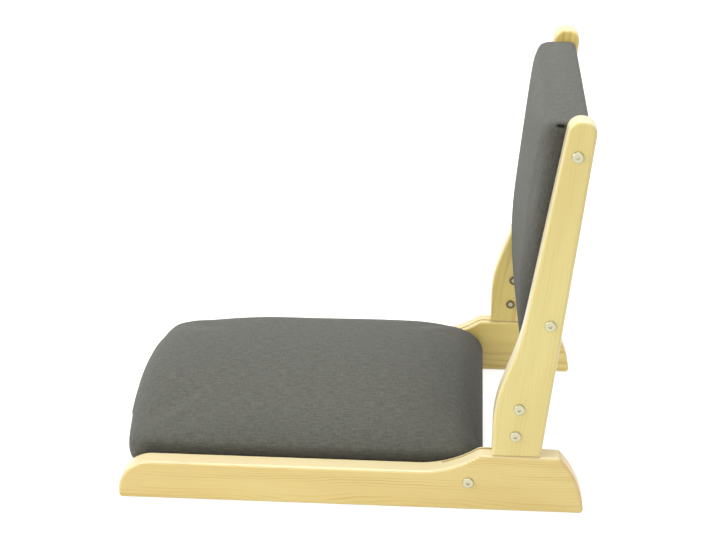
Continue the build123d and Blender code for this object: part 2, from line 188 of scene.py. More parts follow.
def relief(start, strength, distance, height):
    """Small hills in a surface: a Bump node from a height between 0 and 1 and its real depth in metres."""
    return start.node("Bump", inputs={"Strength": strength, "Distance": distance, "Height": height})


def paint(node_name, material):
    """Gives a CAD node one material in every slot."""
    for slot in nodes[node_name].material_slots:
        slot.material = material
    if not nodes[node_name].material_slots:
        nodes[node_name].data.materials.append(material)


print("materials can be made and given to pieces")

# %% [markdown]
# ## Floor and surround
# The photograph has a plain white ground. A white floor lit brightly would throw light up at the chair, so
# the floor is plain pale grey to the light and is lifted to white only for what looks at it: the camera
# and mirror-like surfaces. It still shows the chair's shadow. The surround does the same, and its soft
# light is a little stronger from the chair's front and left, where the photograph's light comes from.

# %% The floor and the white surround
floor_grey, floor_lift, floor_reach = 0.72, 0.68, 9
ambient_level, more_from_front, more_from_left = 0.40, 0.25, 0.22
white = (1.0, 1.0, 1.0, 1.0)


def looked_at(start):
    """1 where the camera, a reflection or glass looks at a surface, and 0 where it only passes on light."""
    seen = start.node("LightPath", output="Is Camera Ray")
    for kind in ("Is Glossy Ray", "Is Transmission Ray"):
        seen = start.sum("MAXIMUM", seen, start.node("LightPath", output=kind))
    return seen


floor_paint = bpy.data.materials.new("floor_paint")
floor_paint.use_nodes = True
start = Wire(floor_paint.node_tree)
body = start.node("BsdfDiffuse", inputs={"Color": (floor_grey,) * 3 + (1.0,)})
glow = start.node("Emission", inputs={"Color": white, "Strength": looked_at(start) * floor_lift})
both = start.node("AddShader", inputs={0: body, 1: glow})
start.tree.links.new(both.socket, start.tree.nodes["Material Output"].inputs["Surface"])

r = floor_reach
floor_mesh = bpy.data.meshes.new("floor")
floor_mesh.from_pydata([(-r, -r, 0), (r, -r, 0), (r, r, 0), (-r, r, 0)], [], [(0, 1, 2, 3)])
floor_mesh.materials.append(floor_paint)
floor = bpy.data.objects.new("floor", floor_mesh)
scene.collection.objects.link(floor)

surround = bpy.data.worlds.new("surround")
scene.world = surround
surround.use_nodes = True
start = Wire(surround.node_tree)
seen = looked_at(start)
x, y, _ = start.node("TexCoord", output="Generated").parts()
strength = ambient_level * (1.0 - x * more_from_front - y * more_from_left)
strength = strength * (1.0 - seen) + seen
background = start.tree.nodes["Background"]
start.tree.links.new(strength.socket, background.inputs["Strength"])
background.inputs["Color"].default_value = white
print("ambient level", ambient_level)

# %% [markdown]
# ## Lamps
# In the photograph the light is soft and falls from above and from the front: the seat's crown is bright,
# its near side is a shade darker, and the shadows have no hard edge. Small lamps or a sun would draw hard
# shadows, so three large square area lamps light the chair: the key lamp before it, a weak one on the near
# side that opens the shadows, and one overhead.

# %% Hang the lamps
aim = (0.0, 0.0, 0.15)


def lamp(name, place, size, power):
    """A square area lamp at a place, turned to face the middle of the chair."""
    light = bpy.data.lights.new(name, "AREA")
    light.size, light.energy = size, power
    made = bpy.data.objects.new(name, light)
    scene.collection.objects.link(made)
    backwards = np.array(place, float) - np.array(aim, float)
    backwards /= np.linalg.norm(backwards)
    side = np.cross((0.0, 0.0, 1.0), backwards)
    side /= np.linalg.norm(side)
    made.matrix_world = placed(side, np.cross(backwards, side), backwards, place)


lamp("key_lamp", (-2.4, -1.3, 1.8), 2.0, 47.0)
lamp("front_lamp", (0.4, -2.3, 1.0), 1.4, 9.0)
lamp("top_lamp", (0.4, 0.4, 2.5), 1.8, 45.0)

# %% [markdown]
# ## Pine
# Pine boards show the tree's yearly rings: each ring starts pale and soft and ends in a thin amber line.
# An image would repeat and stop at the edges, so the rings are worked out in space instead, as nested
# tubes around a pith line that lies outside the board and wanders a little. Cut by the board's faces they
# give straight lines, long arches and end grain by themselves. Every face that doesn't point to a side is
# painted paler than the broad sides, a painted highlight of the light on tops and edges, and the runners'
# rear ends are painted amber instead, a painted shade where the light misses them. Both are told from the
# way a face points on the board, never from where the viewer stands.

# %% The pine material
pine_pale = (0.800, 0.640, 0.226, 1.0)
pine_warm = (0.735, 0.550, 0.166, 1.0)
pine_line = (0.650, 0.425, 0.095, 1.0)
# Painted light: the pale painted highlight colour for tops and edges, and the amber painted shade colour for
# rear ends
highlight_pale, rear_shade_amber = (1.0, 0.93, 0.74, 1.0), (0.72, 0.46, 0.14, 1.0)
line_share, fibre_share, highlight_share, rear_shade_share = 0.80, 0.16, 0.36, 0.6
drift_across, drift_up, ring_jitter = 0.020, 0.026, 1.6
pine_rough, rougher_fibre, rougher_line = 0.40, 0.12, 0.05


def pine(name, pith, turn=0.0, ring=0.0042, seed=0.0, tone=(1.0,) * 3, strength=1.0, wave=2.6, rear_shade_weight=0.0):
    """Lacquered pine with its grain along X turned by `turn` about Y. pith is the (y, z) that the rings nest
    around. Ring number = distance from the wandering pith line divided by the ring width, and its fraction
    runs from pale early wood to a thin amber line of late wood. tone multiplies the board's colour,
    strength is how plain its lines are, wave is how often they sway along it, and the last argument is how
    strongly the rear end is painted amber, as painted shade."""
    pale, warm = [tuple(c * t for c, t in zip(shade, (*tone, 1.0))) for shade in (pine_pale, pine_warm)]

    def build(start):
        # The numbers in each times() are repeats per metre along, across and up the grain
        place = start.node("TexCoord", output="Object")
        grain = start.node("Mapping", inputs={"Vector": place, "Rotation": (0.0, turn, 0.0)})
        slow = grain.times(wave, 9.0, 9.0).shifted(seed, seed, seed)
        _, across, up = grain.parts()
        wander = slow.noise(1.0, 2.0) - 0.5
        sway = slow.shifted(7.3, 1.7, 4.1).noise(1.0, 2.0) - 0.5
        from_y = across - pith[0] + wander * drift_across
        from_z = up - pith[1] + sway * drift_up
        from_pith = start.sum("SQRT", from_y * from_y + from_z * from_z)
        number = from_pith / ring + grain.times(6.0, 45.0, 45.0).noise(1.0, 1.0) * ring_jitter
        share = start.sum("FRACT", number)
        late = share.clamped(0.35, 0.92) * (1.0 - share.clamped(0.93, 1.0))
        uneven = grain.times(4.0, 70.0, 70.0).shifted(seed, 0.0, 3.0).noise(1.0, 2.0).clamped(0.42, 0.66)
        late = late * (0.10 + uneven * 0.90) * strength
        fibre = grain.times(14.0, 1500.0, 1500.0).noise(1.0, 3.0, 0.6)
        cloudy = grain.times(3.0, 16.0, 16.0).shifted(2.0, seed, 5.0).noise(1.0, 3.0).clamped(0.3, 0.7)
        colour = cloudy.tint(pale, warm)
        colour = (late * line_share).tint(colour, pine_line)
        colour = (fibre.clamped(0.35, 0.9) * fibre_share).tint(colour, warm)
        # Painted light: faces that don't point to a side are paled as a painted highlight, and the runners'
        # rear ends are darkened to amber as painted shade
        rearward, sideways, _ = start.node("TexCoord", output="Normal").parts()
        rear_painted_shade = rearward.clamped(0.25, 0.75) * rear_shade_weight
        painted_highlight = (1.0 - start.sum("ABSOLUTE", sideways).clamped(0.50, 1.0)) * (1.0 - rear_painted_shade)
        colour = (painted_highlight * highlight_share).tint(colour, highlight_pale)
        colour = (rear_painted_shade * rear_shade_share).tint(colour, rear_shade_amber)
        rough = pine_rough + fibre * rougher_fibre + late * rougher_line
        bump = relief(start, 0.12, 0.0004, fibre - late * 0.6)
        return {"Base Color": colour, "Roughness": rough, "Normal": bump}

    return finish_material(name, pine_pale[:3], build, Coat_Weight=1.0, Coat_Roughness=0.38, Coat_IOR=1.6)


print("pine can be cut for any board")

# %% [markdown]
# ## A place in the tree for each board
# Boards of one chair come from different logs, and the photograph shows it: the near runner has fine
# swaying lines, the near upright hardly any, and the far frame has broad rings. Painting each board by
# hand could show that too, but here a board only needs its own pith, ring width and tone. The tones are
# painted light: the near upright's is paler, a painted reflection, and the far frame's is brighter and
# more amber, painted bounce light in its shade.
# The uprights' grain runs up them, and they lean back, so their pattern is turned with them.

# %% Pine on the boards
lean_degrees = 6.24
up_the_board = math.radians(90.0 - lean_degrees)
# Tones as painted light: a paler near upright for a painted reflection, and a brighter, warmer far frame for
# painted bounce light
painted_reflection_tone, amber = (1.0, 1.07, 1.07), (1.13, 1.14, 0.94)
near_runner = {"ring": 0.0024, "seed": 3.1, "strength": 1.3, "wave": 5.0, "rear_shade_weight": 1.0}
far_runner = {"seed": 8.4, "tone": amber, "rear_shade_weight": 1.0}
near_upright = {"turn": up_the_board, "seed": 5.2, "tone": painted_reflection_tone, "strength": 0.35}
far_upright = {"turn": up_the_board, "ring": 0.0095, "seed": 1.6, "tone": amber, "strength": 0.8}
back_frame = {"turn": up_the_board, "seed": 9.2}
pines = {
    "runner_left": pine("pine_runner_left", (-0.118, -0.035), **near_runner),
    "runner_right": pine("pine_runner_right", (0.236, 0.060), **far_runner),
    "upright_left": pine("pine_upright_left", (-0.235, 0.230), **near_upright),
    "upright_right": pine("pine_upright_right", (0.140, 0.190), **far_upright),
    "seat_rail_front": pine("pine_seat_rails", (0.0, -0.05), seed=4.4),
    "back_stile_left": pine("pine_back_frame", (0.0, 0.05), **back_frame),
}
pines["seat_rail_rear"] = pines["seat_rail_front"]
for node_name in ("back_stile_right", "back_rail_upper", "back_rail_lower"):
    pines[node_name] = pines["back_stile_left"]
for node_name, material in pines.items():
    paint(node_name, material)
print("pine on", len(pines), "boards")

# %% [markdown]
# ## Metal
# The bolt heads are bright zinc, a little dulled. The sleeve nuts are darker, and the hinge plates inside
# the frames are plain rolled steel. One even roughness would make a small metal part look like a mirror,
# so fine noise varies it.

# %% Zinc, dark nuts and plate steel
dulled = 0.86


def metal(name, colour, rough, spread, scale=900.0):
    """A metal whose roughness varies by spread about rough, with faint uneven colour."""

    def build(start):
        place = start.node("TexCoord", output="Object")
        cloud = place.noise(scale, 3.0)
        uneven = cloud.tint((*(c * dulled for c in colour), 1.0), (*colour, 1.0))
        bump = relief(start, 0.08, 0.0002, cloud)
        return {"Base Color": uneven, "Roughness": rough + (cloud - 0.5) * spread, "Normal": bump}

    return finish_material(name, colour, build, Metallic=1.0)


zinc = metal("zinc", (0.54, 0.515, 0.36), 0.36, 0.20)
dark_nut = metal("dark_nut", (0.175, 0.150, 0.080), 0.42, 0.25)
plate_steel = metal("plate_steel", (0.42, 0.43, 0.44), 0.38, 0.3, 300.0)
for node_name in ("pivot_bolts", "foot_bolts", "back_bolts", "seat_screws", "insert_nuts"):
    paint(node_name, zinc)
for node_name in ("foot_sleeve_nuts", "pivot_sleeves"):
    paint(node_name, dark_nut)
for node_name in ("hinge_plate_left", "hinge_plate_right"):
    paint(node_name, plate_steel)
print("metals:", zinc.name, dark_nut.name, plate_steel.name)

# %% [markdown]
# ## Upholstery cloth
# The cover is a dark grey melange: pale and dark fibres spun together, woven plain, so close up there are
# fine threads and from a step away only a soft mottle of short streaks. The threads must follow the
# surface, so each cushion carries three cloth numbers, and the material reads those: the metres along
# either thread, and how much painted shade the cloth takes, from a dim painted shade beside the wood and
# low down up to a black painted shadow in the corner folds.

# %% The melange cloth
thread_pitch = 0.0011
darkest_fibre, palest_fibre = 0.70, 1.34
# Painted shade: a dim warm tone where the cloth lies in shade, and near black as a painted shadow in the
# corner folds
painted_shade_tone = (0.14, 0.12, 0.06)
painted_shadow_colour, painted_shadow_from, painted_shadow_to = (0.004, 0.004, 0.003, 1.0), 0.66, 0.80


def melange(name, shade, tone):
    """Plain weave: warp and weft are two sine waves across the cloth, one over the other where the product
    of their phases is positive, and short streaks along each give the mottle of mixed fibres."""

    def build(start):
        # The numbers in each times() are repeats per metre along the two threads
        cloth = start.node("Attribute", {"attribute_name": "cloth"}, output="Vector")
        u, v, painted_shade = cloth.parts()
        thread = 2.0 * math.pi / thread_pitch
        weave = start.sum("SINE", u * thread) * start.sum("SINE", v * thread)
        warp_mix = cloth.times(430.0, 110.0, 0.0).noise(1.0, 3.0, 0.70)
        weft_mix = cloth.times(80.0, 400.0, 0.0).shifted(31.0, 17.0, 5.0).noise(1.0, 3.0, 0.66)
        slub = cloth.times(60.0, 420.0, 0.0).shifted(3.0, 9.0, 1.0).noise(1.0, 2.0).clamped(0.35, 0.72)
        mottle = warp_mix * 0.42 + weft_mix * 0.58
        level = mottle.clamped(0.36, 0.64) * 0.66 + slub * 0.10 + weave * 0.06 + 0.11
        dark = tuple(shade * darkest_fibre * t for t in tone) + (1.0,)
        pale = tuple(shade * palest_fibre * t for t in tone) + (1.0,)
        # Painted shade from the third cloth number, which turns to a black painted shadow near its top
        painted_shading = tuple(shade * t for t in painted_shade_tone) + (1.0,)
        colour = painted_shade.tint(level.tint(dark, pale), painted_shading)
        colour = painted_shade.clamped(painted_shadow_from, painted_shadow_to).tint(colour, painted_shadow_colour)
        bump = relief(start, 0.35, 0.0003, weave * 0.5 + mottle)
        return {"Base Color": colour, "Normal": bump}

    fixed = {"Roughness": 0.92, "Sheen_Weight": 0.18, "Sheen_Roughness": 0.45, "Specular_IOR_Level": 0.25}
    return finish_material(name, (shade,) * 3, build, **fixed)


cover_cloth = melange("cover_cloth", 0.115, (1.0, 1.01, 0.86))
print("cloth:", cover_cloth.name)

# %% [markdown]
# ## Black lining
# Upholsterers close the underside of a seat and the rear of a back with a thin pressed sheet of black
# fibre. It is flat and dull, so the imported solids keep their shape, and a fine fuzz with small pressed
# dots is all that it needs.


# %% The black lining
def nonwoven(name, shade):
    """Pressed black fibre sheet: fine noise for the fuzz, and the distance to scattered points for dots."""

    def build(start):
        place = start.node("TexCoord", output="Object")
        fuzz = place.noise(700.0, 4.0, 0.7)
        dots = place.node("TexVoronoi", inputs={"Vector": place, "Scale": 600.0})
        colour = fuzz.tint((shade * 0.6,) * 3 + (1.0,), (shade * 1.5,) * 3 + (1.0,))
        return {"Base Color": colour, "Normal": relief(start, 0.3, 0.0003, fuzz + dots)}

    return finish_material(name, (shade,) * 3, build, Roughness=0.85)


lining = nonwoven("black_lining", 0.018)
for node_name in ("seat_lining", "back_lining"):
    paint(node_name, lining)
print("lining:", lining.name)

# %% [markdown]
# ## Inner woods
# The plywood boards inside both pads and the beech dowels of the rails show only where the cloth leaves
# them bare. Plywood is thin sheets glued crosswise, so its edge is striped: a sine wave across the board's
# thickness gives the stripes, and each board says which way its thickness lies.

# %% Plywood and hardwood dowels
two_layers = 0.003
ply_brown, ply_pale = (0.50, 0.34, 0.19, 1.0), (0.72, 0.56, 0.36, 1.0)
beech_brown, beech_pale = (0.62, 0.42, 0.25, 1.0), (0.74, 0.56, 0.36, 1.0)


def plywood(name, thickness_axis):
    """Thin layers across the sheet's thickness, pale and brown in turn: a sine of the place on that axis."""

    def build(start):
        place = start.node("TexCoord", output="Object")
        layer = start.sum("SINE", place.parts()[thickness_axis] * (2.0 * math.pi / two_layers))
        grain = place.times(20.0, 600.0, 600.0).noise(1.0, 3.0)
        level = layer.clamped(-0.3, 0.3) * 0.5 + grain * 0.5
        return {"Base Color": level.tint(ply_brown, ply_pale)}

    return finish_material(name, (0.6, 0.45, 0.28), build, Roughness=0.6)


def beech(start):
    """Pale beech with short flecks."""
    place = start.node("TexCoord", output="Object")
    fleck = place.times(900.0, 60.0, 900.0).noise(1.0, 3.0)
    return {"Base Color": fleck.tint(beech_brown, beech_pale)}


paint("seat_board", plywood("seat_plywood", 2))
paint("back_board", plywood("back_plywood", 0))
paint("rail_dowels", finish_material("dowel_wood", (0.68, 0.48, 0.3), beech, Roughness=0.55))
print("inner woods done")

# %% [markdown]
# ## Cushions
# Each cushion could be an inflated box, but real foam is cut to a shape and the cloth pulled over it, so the
# shape is drawn first: a crowned section carried along the pad, whose size changes station by station. That
# surface is two numbers wide, the place along the pad and the way round its section. A short cloth
# simulation with air pressure then rounds it as stretched cloth does.


# %% Helpers for smooth curves
def bridge(t, start, leave, end, arrive, reach):
    """A cubic from start to end, for t from 0 to 1: it sets off along leave and comes in along arrive, and
    the longer its reach, the fuller it bends."""
    return (
        (2 * t**3 - 3 * t**2 + 1) * start
        + (t**3 - 2 * t**2 + t) * reach * leave
        + (3 * t**2 - 2 * t**3) * end
        + (t**3 - t**2) * reach * arrive
    )


def smooth_stations(table, count):
    """Each column of a table at count places, evenly spread along the line that its last column draws over
    the first, by cubics between the rows. A slope is the weighted harmonic mean of its two neighbours, or
    none where they differ in sign, so that the curve never overshoots."""
    table = np.array(table, float)
    place, values = table[:, 0], table[:, 1:]
    gap = np.diff(place)
    slope = np.diff(values, axis=0) / gap[:, None]
    tangent = np.zeros_like(values)
    same = slope[:-1] * slope[1:] > 0
    weight_a, weight_b = 2 * gap[1:] + gap[:-1], gap[1:] + 2 * gap[:-1]
    safe_a, safe_b = np.where(same, slope[:-1], 1.0), np.where(same, slope[1:], 1.0)
    blend = (weight_a + weight_b)[:, None] / (weight_a[:, None] / safe_a + weight_b[:, None] / safe_b)
    tangent[1:-1] = np.where(same, blend, 0.0)
    tangent[0], tangent[-1] = slope[0], slope[-1]
    arc = np.concatenate([[0], np.cumsum(np.hypot(gap, np.abs(np.diff(values[:, -1]))))])
    at = np.interp(np.linspace(0, arc[-1], count), arc, place)
    k = np.clip(np.searchsorted(place, at) - 1, 0, len(gap) - 1)
    t = ((at - place[k]) / gap[k])[:, None]
    return at, bridge(t, values[k], tangent[k], values[k + 1], tangent[k + 1], gap[k][:, None])


def ease(values, low, high):
    """0 below low, 1 above high and a smooth step between."""
    t = np.clip((values - low) / (high - low), 0, 1)
    return t * t * (3 - 2 * t)


def soft_limit(values, limit, softness):
    """Values pressed below a limit: far below it they stay, and near it they approach it smoothly."""
    over = values - (limit - softness)
    return np.where(over > 0, limit - softness + softness * (1 - np.exp(-over / softness)), values)


print("curve helpers are ready")

# %% [markdown]
# ## From rings of points to a mesh
# A pad's surface is a stack of closed rings. Modelling it by hand would mean pushing points about, but a
# grid only needs counting: every point joins its neighbours on its own ring and on the next, and one point
# closes either end.


# %% Helpers for grids
def whole_ring(half_ring, low):
    """Closed rings from their halves: the half, a middle point on the underside at height low, and then the
    mirror image."""
    middle = np.zeros((len(half_ring), 1, 2))
    middle[:, 0, 1] = low
    mirrored = half_ring[:, 1:, :][:, ::-1, :] * np.array([-1.0, 1.0])
    return np.concatenate([half_ring, middle, mirrored], axis=1)


def closed_grid(name, points):
    """A mesh from rings of points: each ring is closed, and the first and last are capped by one point."""
    rings, around, _ = points.shape
    ends = np.array([points[0].mean(0), points[-1].mean(0)])
    vertices = np.concatenate([points.reshape(-1, 3), ends])
    i, j = np.meshgrid(np.arange(rings - 1), np.arange(around), indexing="ij")
    k = (j + 1) % around
    quads = np.stack([i * around + j, i * around + k, (i + 1) * around + k, (i + 1) * around + j], -1)
    j = np.arange(around)
    k = (j + 1) % around
    first = np.stack([k, j, np.full(around, rings * around)], -1)
    last = np.stack([j, k, np.full(around, rings * around)], -1)
    last += np.array([(rings - 1) * around, (rings - 1) * around, 1])
    faces = quads.reshape(-1, 4).tolist() + first.tolist() + last.tolist()
    mesh = bpy.data.meshes.new(name)
    mesh.from_pydata(vertices.tolist(), [], faces)
    made = bpy.data.objects.new(name, mesh)
    scene.collection.objects.link(made)
    shape = bmesh.new()
    shape.from_mesh(mesh)
    bmesh.ops.recalc_face_normals(shape, faces=shape.faces)
    shape.to_mesh(mesh)
    shape.free()
    return made


def get_points(made):
    """A mesh's vertices as an array."""
    flat = np.zeros(len(made.data.vertices) * 3)
    made.data.vertices.foreach_get("co", flat)
    return flat.reshape(-1, 3)


def set_points(made, points):
    """Puts an array back as a mesh's vertices."""
    made.data.vertices.foreach_set("co", np.ascontiguousarray(points, float).ravel())
    made.data.update()


print("grid helpers are ready")

# %% [markdown]
# ## Padding
# The cloth of a pad is stapled to its board and pushed outwards by the foam. A Cloth modifier with air
# pressure does the same. It wants even squares, so the surface is remeshed first, and it swells, so the
# drawn surface starts a millimetre small. These are tight pads, so no point may move more than about
# 2 mm. Sculpting by hand could round the edges as well, but not the same way on every run.

# %% Helpers for padding
cloth_frames, cloth_quality, stretch_stiffness, bend_stiffness = 20, 6, 40.0, 4.0
evening_share, evening_rounds = 0.5, 8


def apply_modifier(made, modifier):
    """Makes a modifier's result the mesh."""
    bpy.context.view_layer.objects.active = made
    bpy.ops.object.modifier_apply(modifier=modifier.name)


def remesh(made, voxel):
    """Even squares of one size all over, which cloth needs."""
    modifier = made.modifiers.new("remesh", "REMESH")
    modifier.mode, modifier.voxel_size = "VOXEL", voxel
    apply_modifier(made, modifier)


def inflate(made, pressure, cap, hold):
    """Cloth with air inside, run for a fixed number of frames. hold is 1 where the cloth is stapled down and
    0 where it is free, and no point may end further than cap from its start."""
    rest = get_points(made)
    group = made.vertex_groups.new(name="stapled")
    for weight in np.unique(hold.round(1)):
        if weight > 0:
            group.add(np.nonzero(hold.round(1) == weight)[0].tolist(), float(weight), "REPLACE")
    modifier = made.modifiers.new("cloth", "CLOTH")
    cloth = modifier.settings
    cloth.quality = cloth_quality
    cloth.tension_stiffness = cloth.compression_stiffness = stretch_stiffness
    cloth.bending_stiffness = bend_stiffness
    cloth.use_pressure = True
    cloth.uniform_pressure_force = pressure
    cloth.effector_weights.gravity = 0.0
    cloth.vertex_group_mass = group.name
    modifier.collision_settings.use_collision = False
    for step in range(1, cloth_frames + 1):
        scene.frame_set(step)
    apply_modifier(made, modifier)
    scene.frame_set(1)
    moved = get_points(made) - rest
    size = np.linalg.norm(moved, axis=1, keepdims=True)
    moved *= np.minimum(1.0, cap / np.maximum(size, 1e-9))
    set_points(made, rest + moved)
    made.vertex_groups.clear()
    modifier = made.modifiers.new("even_out", "SMOOTH")
    modifier.factor, modifier.iterations = evening_share, evening_rounds
    apply_modifier(made, modifier)
    print(made.name, "swelled by up to", round(float(size.max()) * 1000, 1), "mm")


def refine(made):
    """One level of subdivision, made part of the mesh."""
    modifier = made.modifiers.new("finer", "SUBSURF")
    modifier.levels = modifier.render_levels = 1
    apply_modifier(made, modifier)


def lay_cloth(made, along_u, along_v, painted_shade):
    """Covers a pad: stores the three numbers that the cloth material reads, which are the metres along each
    thread and how much painted shade the cloth takes, from 0 to 1, and shades every face smoothly."""
    numbers = np.stack([along_u, along_v, painted_shade], -1)
    attribute = made.data.attributes.new("cloth", "FLOAT_VECTOR", "POINT")
    attribute.data.foreach_set("vector", np.ascontiguousarray(numbers, np.float32).ravel())
    made.data.materials.append(cover_cloth)
    made.data.polygons.foreach_set("use_smooth", np.ones(len(made.data.polygons), bool))


print("padding helpers are ready")

# %% [markdown]
# ## The seat
# The seat is a foam slab on a plywood board, about eight centimetres thick, crowned in the middle. Its front
# edge is tight and a little rounded seen from above, its rear edge falls away in a big round, and its sides
# stand upright between the runners before they roll over. A box with rounded edges would miss the crown, so
# the slab is measured at stations from front to rear, and a crowned section is fitted to each.

# %% The seat's stations and its section
seat_low, seat_tuck, crown_reach, knee_fullness = 0.0248, 0.010, 0.85, 1.2
seat_table = [  # x, half width, height of the widest line, share that the crown falls, height of the crown
    (-0.2750, 0.1500, 0.0440, 0.40, 0.0630),
    (-0.2738, 0.1600, 0.0445, 0.41, 0.0670),
    (-0.2715, 0.1665, 0.0455, 0.42, 0.0720),
    (-0.2670, 0.1703, 0.0460, 0.43, 0.0775),
    (-0.2590, 0.1720, 0.0470, 0.44, 0.0840),
    (-0.2450, 0.1725, 0.0480, 0.43, 0.0900),
    (-0.2240, 0.1725, 0.0490, 0.44, 0.0945),
    (-0.1900, 0.1725, 0.0500, 0.39, 0.0980),
    (-0.1200, 0.1725, 0.0510, 0.29, 0.0998),
    (0.0000, 0.1725, 0.0520, 0.27, 0.1000),
    (0.0700, 0.1725, 0.0510, 0.27, 0.0982),
    (0.1120, 0.1723, 0.0480, 0.30, 0.0920),
    (0.1380, 0.1715, 0.0440, 0.28, 0.0795),
    (0.1520, 0.1690, 0.0380, 0.28, 0.0620),
    (0.1580, 0.1650, 0.0340, 0.28, 0.0480),
]


def half_section(edge, side, top, share, count):
    """One half of a crowned section, from the middle of its top to its widest line: a flat arc falls by
    share of the height, and a tighter arc turns it down until it stands upright at (edge, side)."""
    fall = share * (top - side)
    slope = np.arctan(2 * fall / (crown_reach * edge))
    knee_up = top - fall
    knee_out = edge - (knee_up - side) * (1 - np.sin(slope)) / np.cos(slope)
    crown_radius = knee_out**2 / (2 * fall) + fall / 2
    a = np.linspace(0, 1, count)[None, :] * np.arcsin(np.clip(knee_out / crown_radius, -1, 1))[:, None]
    radius, centre = crown_radius[:, None], (top - crown_radius)[:, None]
    crown = np.stack([radius * np.sin(a), centre + radius * np.cos(a)], -1)
    t = np.linspace(0, 1, count)[None, :, None]
    knee, foot = np.stack([knee_out, knee_up], -1)[:, None, :], np.stack([edge, side], -1)[:, None, :]
    leave = np.stack([np.cos(slope), -np.sin(slope)], -1)[:, None, :]
    straight_down = np.array([0.0, -1.0])[None, None, :]
    reach = knee_fullness * np.linalg.norm(foot - knee, axis=-1, keepdims=True)
    turn_part = bridge(t, knee, leave, foot, straight_down, reach)
    return np.concatenate([crown, turn_part[:, 1:]], axis=1)


print("seat stations:", len(seat_table))

# %% [markdown]
# ## Drawing the seat
# The rings go round the seat like slices of a loaf. Below the widest line each side is drawn in towards the
# board, as cloth pulled to its staples is. Near the front the slices are bent, because the slab's front
# edge is cut in a shallow curve.

# %% Draw the seat
start_small = 0.001
side_steps, under_steps = 8, 7
bow_deep, bow_half, bow_back, bow_from, bow_to = 0.0145, 0.172, 0.007, 0.185, 0.262


def seat_surface(shrink, rows=90, across=26):
    """Rings around the seat at stations along it: half a section, its sides drawn in below, then mirrored.
    Near the front each ring is bent as a parabola, so that the front edge is rounded seen from above."""
    x, columns = smooth_stations(seat_table, rows)
    half, side, share, crown = columns[:, 0] - shrink, columns[:, 1], columns[:, 2], columns[:, 3] - shrink
    x = np.clip(x, seat_table[0][0] + shrink, seat_table[-1][0] - shrink)
    upper = half_section(half, side, crown, share, across)
    t = np.linspace(0, 1, side_steps + 1)[1:]
    out = half[:, None] - seat_tuck * (t**2)[None, :]
    up = side[:, None] + (seat_low - side)[:, None] * t[None, :]
    lower = np.stack([out, up], -1)
    t = np.linspace(1, 0, under_steps + 2)[1:-1]
    under = np.stack([lower[:, -1, 0:1] * t[None, :], np.full((rows, under_steps), seat_low)], -1)
    ring = whole_ring(np.concatenate([upper, lower, under], axis=1), seat_low)
    bow = bow_deep * (ring[..., 0] / bow_half) ** 2 - bow_back
    bend = bow * ease(-x, bow_from, bow_to)[:, None]
    return np.concatenate([(x[:, None] + bend)[..., None], ring], -1)


seat = closed_grid("seat_cushion", seat_surface(start_small))
print("seat drawn:", len(seat.data.vertices), "points")

# %% [markdown]
# ## Padding the seat
# The seat's cloth is stapled under the board, so its lower rim is held and everything above it is free to
# swell.

# %% Pad the seat
held_below, held_fade = 0.046, 0.012
remesh(seat, 0.006)
low = np.clip((held_below - get_points(seat)[:, 2]) / held_fade, 0, 1)
inflate(seat, 3.0, 0.0018, low)
refine(seat)
print("seat padded:", len(seat.data.vertices), "points")

# %% [markdown]
# ## Fitting and covering the seat
# A real pad is pressed flat by the runners on either side, so its points are eased below that width. The
# threads run straight over the crown and turn down over the edges, so the metres along them go on growing
# as the cloth drops. Flattening the surface into an image would stretch the threads, and this doesn't. The
# cloth is painted darker low beside the runners and where it falls away under the back: painted shade.

# %% Fit the seat into the frame and cover it
seat_limit, seat_softness, seat_shoulder = 0.1735, 0.0015, 0.098
# Painted shade beside the runners and over the seat's rear
runner_dark, rear_dark = 0.5, 0.35

points = get_points(seat)
points[:, 1] = np.sign(points[:, 1]) * soft_limit(np.abs(points[:, 1]), seat_limit, seat_softness)
points[:, 2] = np.maximum(points[:, 2], seat_low)
set_points(seat, points)

x, y, z = points.T
drop = np.maximum(0.0, seat_shoulder - z)
to_front, to_rear = ease(-x, 0.225, 0.262), ease(x, 0.115, 0.150)
to_side = ease(np.abs(y), 0.125, 0.165) * np.sign(y)
# Painted shade: darker low beside the runners and over the rear, under the back
by_runner = ease(0.064 - z, 0.0, 0.012) * ease(np.abs(y), 0.150, 0.170)
at_rear = rear_dark * ease(x, 0.118, 0.150) + rear_dark * ease(x, 0.143, 0.157)
painted_shade = np.maximum(runner_dark * by_runner * ease(x, -0.262, -0.235), at_rear)
lay_cloth(seat, x + drop * (to_rear - to_front), y + drop * to_side, painted_shade)

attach(seat, "base")
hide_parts("seat_cover", "seat_foam")
print("seat box:", points.min(0).round(4), points.max(0).round(4))

# %% [markdown]
# ## The back
# The back pad is built the same way, but leaning: its stations climb the uprights' straight rear line, and
# its section opens forward. It is thick in the middle, thins towards its lower end, and its sides stay
# close to the uprights. Turning a finished upright pad would do too, but its measures are easiest to read
# off the leaning line itself.

